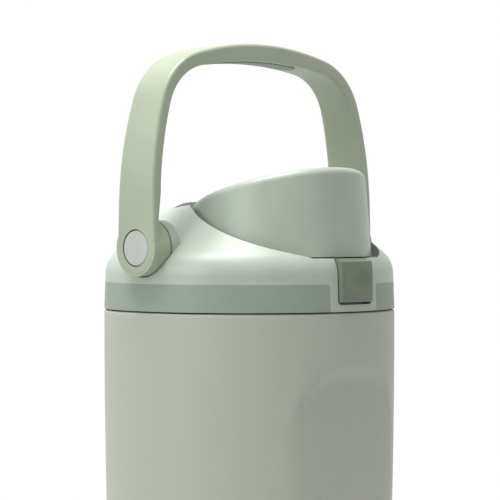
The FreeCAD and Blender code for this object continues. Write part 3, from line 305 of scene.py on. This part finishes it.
def bump(nodes, shader, height, distance, strength=1.0):
    """Small relief on the surface from a height."""
    node = nodes.add("ShaderNodeBump", Height=height, Distance=distance, Strength=strength)
    nodes.feed(shader.inputs["Normal"], node.outputs["Normal"])


def moulded(name, base, roughness, grain=0.00035, relief=0.000010, tone=0.05, coat=0.0):
    """Satin moulded plastic or rubber."""
    material, nodes, shader, where = start_material(name)
    group = nodes.add("ShaderNodeGroup", {"node_tree": shared(moulded_grain)}, Vector=where,
                      Grain_size=grain, Cloud_size=0.02)
    out = group.outputs
    nodes.feed(shader.inputs["Base Color"],
               nodes.mix(out["Tone"], shade(base, 1.0 - tone), shade(base, 1.0 + tone)))
    uneven = nodes.ramp(out["Gloss"], 0.0, 1.0, roughness - ROUGHNESS_SPREAD, roughness + ROUGHNESS_SPREAD)
    nodes.feed(shader.inputs["Roughness"], uneven)
    shader.inputs["Coat Weight"].default_value = coat
    shader.inputs["Coat Roughness"].default_value = 0.35
    bump(nodes, shader, out["Height"], relief)
    return material


def powder_coat(name, base):
    """Fine textured powder coat, warm grey-green."""
    material, nodes, shader, where = start_material(name)
    group = nodes.add("ShaderNodeGroup", {"node_tree": shared(coat_grain)}, Vector=where,
                      Peel_size=0.0008, Speck_size=0.0005)
    out = group.outputs
    nodes.feed(shader.inputs["Base Color"], nodes.mix(out["Specks"], shade(base, 0.975), shade(base, 1.025)))
    nodes.feed(shader.inputs["Roughness"], nodes.ramp(out["Gloss"], 0.0, 1.0, 0.46, 0.54))
    bump(nodes, shader, out["Height"], 0.00002, 0.8)
    return material


def steel(name, base):
    """Drawn stainless steel with fine turned lines."""
    material, nodes, shader, where = start_material(name)
    group = nodes.add("ShaderNodeGroup", {"node_tree": shared(brushed_grain)}, Vector=where,
                      Line_pitch=LINE_PITCH)
    out = group.outputs
    shader.inputs["Metallic"].default_value = 1.0
    nodes.feed(shader.inputs["Base Color"], nodes.mix(out["Gloss"], shade(base, 0.94), shade(base, 1.04)))
    nodes.feed(shader.inputs["Roughness"], nodes.ramp(out["Gloss"], 0.0, 1.0, 0.24, 0.36))
    bump(nodes, shader, out["Height"], 0.000004)
    return material


def dress(material, *names):
    """Give CAD nodes a finish."""
    for name in names:
        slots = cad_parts[name].material_slots
        if not slots:
            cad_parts[name].data.materials.append(material)
        for entry in slots:
            entry.material = material


# -------------------------------------------------------------- bottle skin

def side_radius(settings, height):
    """Radius of the bottle's side at a height, on one long arc from the base to the seam."""
    low = np.array([settings.base_radius, SHELL_LOW[AXIS_Z]])
    high = np.array([SHELL_HIGH[AXIS_X], SHELL_HIGH[AXIS_Z]])
    chord = high - low
    half = np.linalg.norm(chord) / 2
    inward = np.array([-chord[1], chord[0]]) / (2 * half)
    centre = (low + high) / 2 + inward * math.sqrt(settings.side_arc ** 2 - half ** 2)
    return centre[0] + np.sqrt(settings.side_arc ** 2 - (height - centre[1]) ** 2)


def corner_points(x, z, radius, start, steps):
    """Quarter round, from an angle on, about a centre."""
    angles = np.radians(np.linspace(start, start + 90, steps))
    return [(x + radius * math.cos(angle), z + radius * math.sin(angle)) for angle in angles]


def skin_profile(settings, inset):
    """Section of the skin from the hole in its base to its mouth, at some depth inside."""
    bottom = SHELL_LOW[AXIS_Z] + inset
    top = SHELL_HIGH[AXIS_Z] - inset
    foot = settings.base_corner - inset
    lip = settings.top_corner - min(inset, settings.top_corner * LIP_SHARE)
    foot_x = side_radius(settings, bottom + foot) - inset - foot
    lip_x = side_radius(settings, top - lip) - inset - lip
    heights = np.linspace(bottom + foot, top - lip, SIDE_STEPS)[1:-1]
    points = [(PLATE_HIGH[AXIS_X], bottom)]
    points += corner_points(foot_x, bottom + foot, foot, -90, FOOT_STEPS)
    points += [(side_radius(settings, height) - inset, height) for height in heights]
    points += corner_points(lip_x, top - lip, lip, 0, LIP_STEPS)
    points += [(NECK_HOLE, top)]
    return np.array(points)


def skin_tree():
    """Geometry Nodes tree that turns a section round Z and presses two grip hollows into it."""
    sizes = [(label, "Float", None) for label in ("Core radius", *GRIP_INPUTS)]
    tree, nodes, entry, leave = new_group(
        "Turned skin",
        [("Section", "Geometry", None), ("Steps round", "Int", None), *sizes, ("Finish", "Material", None)],
        [("Skin", "Geometry")], "GeometryNodeTree")
    section = nodes.add("GeometryNodeMeshToCurve", Mesh=entry["Section"]).outputs["Curve"]
    path = nodes.add("GeometryNodeCurvePrimitiveCircle",
                     Resolution=entry["Steps round"], Radius=entry["Core radius"])
    turned = nodes.add("GeometryNodeCurveToMesh", Curve=path.outputs["Curve"], Profile_Curve=section)
    place = nodes.add("GeometryNodeInputPosition").outputs["Position"]
    split = nodes.add("ShaderNodeSeparateXYZ", Vector=place).outputs
    depth = nodes.add("GeometryNodeInputNamedAttribute", {"data_type": "FLOAT"}, Name="inset")
    flat = nodes.add("ShaderNodeCombineXYZ", X=split["X"], Y=split["Y"]).outputs["Vector"]
    radius = nodes.add("ShaderNodeVectorMath", {"operation": "LENGTH"}, Vector=flat).outputs["Value"]
    facing = nodes.math("DIVIDE", nodes.math("ABSOLUTE", split["Y"]), radius)
    half_tall = nodes.math("MULTIPLY", nodes.math("SUBTRACT", entry["Grip top"], entry["Grip bottom"]), 0.5)
    middle = nodes.math("ADD", entry["Grip bottom"], half_tall)
    height = nodes.math("ABSOLUTE", nodes.math("SUBTRACT", split["Z"], middle))
    outside = []
    across = nodes.math("ABSOLUTE", split["X"])
    for reach, half in ((across, entry["Grip half width"]), (height, half_tall)):
        straight = nodes.math("SUBTRACT", half, entry["Grip corner"])
        outside.append(nodes.math("MAXIMUM", nodes.math("SUBTRACT", reach, straight), 0.0))
    corner = nodes.add("ShaderNodeCombineXYZ", X=outside[0], Y=outside[1]).outputs["Vector"]
    away = nodes.add("ShaderNodeVectorMath", {"operation": "LENGTH"}, Vector=corner).outputs["Value"]
    run = nodes.math("MAXIMUM", nodes.math("SUBTRACT", away, entry["Grip corner"]), 0.0)
    floor = nodes.math("ADD", nodes.math("SUBTRACT", entry["Grip floor"], depth.outputs["Attribute"]),
                       nodes.math("MULTIPLY", run, entry["Grip rise"]))
    limit = nodes.math("DIVIDE", floor, nodes.math("MAXIMUM", facing, LEAST_FACING))
    blend = nodes.add("ShaderNodeMath", {"operation": "SMOOTH_MIN"})
    for socket, value in zip(blend.inputs, (radius, limit, entry["Grip softness"])):
        nodes.feed(socket, value)
    share = nodes.math("DIVIDE", blend.outputs[0], radius)
    pressed = nodes.add("ShaderNodeCombineXYZ", X=nodes.math("MULTIPLY", split["X"], share),
                        Y=nodes.math("MULTIPLY", split["Y"], share), Z=split["Z"])
    moved = nodes.add("GeometryNodeSetPosition",
                      Geometry=turned.outputs["Mesh"], Position=pressed.outputs["Vector"])
    smooth = nodes.add("GeometryNodeSetShadeSmooth", Geometry=moved.outputs["Geometry"])
    real = nodes.add("GeometryNodeRealizeInstances", Geometry=smooth.outputs["Geometry"])
    done = nodes.add("GeometryNodeSetMaterial", Geometry=real.outputs["Geometry"], Material=entry["Finish"])
    nodes.feed(leave["Skin"], done.outputs["Geometry"])
    return tree


def section_mesh(name, points, insets, core):
    """Closed line through the points of a section, from a core circle, with each one's depth inside."""
    mesh = bpy.data.meshes.new(name)
    total = len(points)
    mesh.from_pydata([(radius - core, -z, 0.0) for radius, z in points],
                     [(step, (step + 1) % total) for step in range(total)], [])
    mesh.attributes.new("inset", "FLOAT", "POINT").data.foreach_set("value", insets)
    return mesh


def made_by_nodes(name, mesh, tree, values):
    """Plain mesh that a Geometry Nodes tree makes from another one, with the tree's named inputs."""
    source = bpy.data.objects.new(name, mesh)
    bpy.context.scene.collection.objects.link(source)
    modifier = source.modifiers.new(tree.name, "NODES")
    modifier.node_group = tree
    for item in tree.interface.items_tree:
        if item.in_out == "INPUT" and item.name in values:
            modifier[item.identifier] = values[item.name]
    seen = source.evaluated_get(bpy.context.evaluated_depsgraph_get())
    made = bpy.data.meshes.new_from_object(seen)
    made.attributes.remove(made.attributes["inset"])
    bpy.data.objects.remove(source)
    return made


def shown(name, mesh, body):
    """Put a finished mesh in the scene, on its body."""
    piece = bpy.data.objects.new(name, mesh)
    bpy.context.scene.collection.objects.link(piece)
    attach(piece, body)
    return piece


class JUG_OT_bottle(bpy.types.Operator):
    """Model the coated skin and give the bottle's steel and foot their finishes"""
    bl_idname = "jug.bottle"
    bl_label = "Bottle"

    def execute(self, context):
        shape = context.scene.jug_shape
        finish = context.scene.jug_finish
        outer = skin_profile(shape, 0.0)[::-1]
        inner = skin_profile(shape, shape.wall)
        insets = [0.0] * len(outer) + [shape.wall] * len(inner)
        section = section_mesh("skin_section", np.concatenate([outer, inner]), insets, CORE_RADIUS)
        coat = powder_coat("powder_coat", finish.coat)
        sizes = {label: getattr(shape, key) for label, key in GRIP_INPUTS.items()}
        sizes.update({"Core radius": CORE_RADIUS, "Steps round": shape.turns, "Finish": coat})
        mesh = made_by_nodes("skin_section", section, skin_tree(), sizes)
        skin = shown("bottle_skin", mesh, "jug")
        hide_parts("outer_shell")
        dress(steel("drawn_steel", finish.steel), "inner_liner", "base_plate", "vacuum_seal_disc")
        dress(moulded("foot_silicone", finish.foot, roughness=0.62, relief=0.00002), "base_foot_ring")
        return {"FINISHED"}


class JUG_OT_lid(bpy.types.Operator):
    """Give the lid's mouldings, band, seals and small steel parts their finishes"""
    bl_idname = "jug.lid"
    bl_label = "Lid"

    def execute(self, context):
        finish = context.scene.jug_finish
        dress(moulded("lid_satin", finish.collar, roughness=0.42, coat=0.10), "lid_collar")
        dress(moulded("band_rubber", finish.band, roughness=0.52), "accent_band")
        dress(moulded("inner_moulding", finish.inner, roughness=0.45),
              "lid_insert", "spout", "button_retainer", "left_pivot_bush", "right_pivot_bush")
        dress(moulded("milky_silicone", finish.rubber, roughness=0.58),
              "lid_gasket", "spout_gasket", "vent_valve", "left_friction_washer", "right_friction_washer")
        dress(steel("small_steel", finish.steel), "hinge_pin", "cap_spring", "button_spring",
              "left_pivot_screw", "right_pivot_screw")
        return {"FINISHED"}


class JUG_OT_cap(bpy.types.Operator):
    """Give the flip cap, its carrier and its seal their finishes"""
    bl_idname = "jug.cap"
    bl_label = "Flip cap"

    def execute(self, context):
        finish = context.scene.jug_finish
        dress(moulded("cap_satin", finish.cap, roughness=0.40, coat=0.10), "flip_cap_shell")
        dress(moulded("carrier_moulding", finish.inner, roughness=0.45), "seal_carrier")
        dress(moulded("seal_silicone", finish.rubber, roughness=0.58), "spout_seal")
        return {"FINISHED"}


class JUG_OT_handle(bpy.types.Operator):
    """Give the bail handle, its soft pad and its pivot covers their finishes"""
    bl_idname = "jug.handle"
    bl_label = "Handle"

    def execute(self, context):
        finish = context.scene.jug_finish
        dress(moulded("handle_satin", finish.handle, roughness=0.44, coat=0.06), "handle_bail")
        dress(moulded("pad_rubber", finish.pad, roughness=0.60, relief=0.00002), "handle_grip_pad")
        dress(moulded("cover_satin", finish.cover, roughness=0.46), "left_pivot_cap", "right_pivot_cap")
        return {"FINISHED"}


class JUG_OT_button(bpy.types.Operator):
    """Give the release button and its latch their finishes"""
    bl_idname = "jug.button"
    bl_label = "Release button"

    def execute(self, context):
        finish = context.scene.jug_finish
        dress(moulded("button_satin", finish.button, roughness=0.42, coat=0.08), "latch_button")
        dress(moulded("latch_moulding", finish.inner, roughness=0.45), "latch_slide")
        return {"FINISHED"}


# --------------------------------------------------------------------- stage

class JUG_OT_camera(bpy.types.Operator):
    """Place the camera level with the lid, in front and to the left"""
    bl_idname = "jug.camera"
    bl_label = "Camera"

    def execute(self, context):
        stage = context.scene.jug_stage
        data = bpy.data.cameras.new("camera")
        data.lens = stage.lens
        data.sensor_width = FILM_WIDTH
        data.clip_start = 0.01
        camera = bpy.data.objects.new("camera", data)
        context.scene.collection.objects.link(camera)
        camera.location = (stage.distance * math.sin(stage.turn), -stage.distance * math.cos(stage.turn),
                           stage.eye_height)
        camera.rotation_euler = Euler((math.pi / 2 - stage.pitch, 0, stage.turn - stage.aim))
        context.scene.camera = camera
        return {"FINISHED"}


def softbox(name, place, target, size, power):
    """Square area lamp facing a point."""
    data = bpy.data.lights.new(name, "AREA")
    data.size = size
    data.energy = power
    lamp = bpy.data.objects.new(name, data)
    bpy.context.scene.collection.objects.link(lamp)
    lamp.location = place
    lamp.rotation_euler = (Vector(target) - Vector(place)).to_track_quat("-Z", "Y").to_euler()


def looked_at(nodes):
    """One on rays that show the background itself: to the camera, in gloss and through glass."""
    path = nodes.add("ShaderNodeLightPath").outputs
    mirrored = nodes.math("ADD", path["Is Glossy Ray"], path["Is Transmission Ray"])
    return nodes.math("ADD", path["Is Camera Ray"], mirrored, clamp=True)


def table_material(radius):
    """Pale table top that fades out towards its rim."""
    material, nodes, shader, where = start_material("pale_table")
    nodes.feed(shader.inputs["Base Color"],
               nodes.mix(looked_at(nodes), TABLE_LIT, TABLE_SEEN))
    shader.inputs["Roughness"].default_value = 0.85
    reach = nodes.add("ShaderNodeVectorMath", {"operation": "LENGTH"})
    nodes.feed(reach.inputs[0], where)
    fade = nodes.ramp(reach.outputs["Value"], radius * TABLE_FADE[0], radius * TABLE_FADE[1], 1.0, 0.0)
    nodes.feed(shader.inputs["Alpha"], fade)
    return material


def room(sky, ground):
    """White room: brighter overhead than below, and plain white to the camera, in gloss and through glass."""
    world = bpy.data.worlds.new("white_room")
    world.use_nodes = True
    tree = world.node_tree
    nodes = Nodes(tree)
    back = tree.nodes["Background"]
    back.inputs["Color"].default_value = (1.0, 1.0, 1.0, 1.0)
    toward = nodes.add("ShaderNodeTexCoord").outputs["Generated"]
    height = nodes.add("ShaderNodeSeparateXYZ", Vector=toward).outputs["Z"]
    level = nodes.ramp(height, -0.5, 0.5, ground, sky)
    nodes.feed(back.inputs["Strength"], nodes.ramp(looked_at(nodes), 0.0, 1.0, level, 1.0))
    bpy.context.scene.world = world


class JUG_OT_stage(bpy.types.Operator):
    """Set up the pale table, the softboxes and the white room"""
    bl_idname = "jug.stage"
    bl_label = "Stage"

    def execute(self, context):
        stage = context.scene.jug_stage
        context.scene.view_settings.view_transform = "Standard"
        mesh = bpy.data.meshes.new("table")
        angles = [math.tau * step / TABLE_STEPS for step in range(TABLE_STEPS)]
        ring = [(stage.floor_radius * math.cos(angle), stage.floor_radius * math.sin(angle), 0.0)
                for angle in angles]
        mesh.from_pydata(ring, [], [tuple(range(TABLE_STEPS))])
        table = bpy.data.objects.new("table", mesh)
        context.scene.collection.objects.link(table)
        table.data.materials.append(table_material(stage.floor_radius))
        middle = (0.0, 0.0, SHELL_HIGH[AXIS_Z])
        softbox("side_softbox", SIDE_PLACE, middle, SIDE_SIZE, stage.key)
        softbox("top_softbox", TOP_PLACE, middle, TOP_SIZE, stage.top)
        room(stage.sky, stage.ground)
        return {"FINISHED"}


# --------------------------------------------------------------------- panel

PIECES = (JUG_OT_camera, JUG_OT_bottle, JUG_OT_lid, JUG_OT_cap, JUG_OT_handle, JUG_OT_button, JUG_OT_stage)
SETTINGS = (("jug_shape", JugShapeSettings), ("jug_finish", JugFinishSettings),
            ("jug_stage", JugStageSettings))


class JUG_PT_sidebar(bpy.types.Panel):
    """List of the jug's pieces and their settings"""
    bl_idname = "JUG_PT_sidebar"
    bl_label = "Water jug"
    bl_space_type = "VIEW_3D"
    bl_region_type = "UI"
    bl_category = "Jug"

    def draw(self, context):
        for operator in PIECES:
            self.layout.operator(operator.bl_idname)
        for name, kind in SETTINGS:
            group = getattr(context.scene, name)
            box = self.layout.box()
            for key in kind.__annotations__:
                box.prop(group, key)


def register():
    """Make the settings, operators and panel known."""
    for name, kind in SETTINGS:
        bpy.utils.register_class(kind)
        setattr(bpy.types.Scene, name, bpy.props.PointerProperty(type=kind))
    for kind in PIECES + (JUG_PT_sidebar,):
        bpy.utils.register_class(kind)


def unregister():
    """Take the panel, operators and settings away again."""
    for kind in reversed(PIECES + (JUG_PT_sidebar,)):
        bpy.utils.unregister_class(kind)
    for name, kind in reversed(SETTINGS):
        delattr(bpy.types.Scene, name)
        bpy.utils.unregister_class(kind)


def main():
    """Build every piece and the stage."""
    register()
    for operator in PIECES:
        group, name = operator.bl_idname.split(".")
        getattr(getattr(bpy.ops, group), name)()


if __name__ == "__main__":
    main()
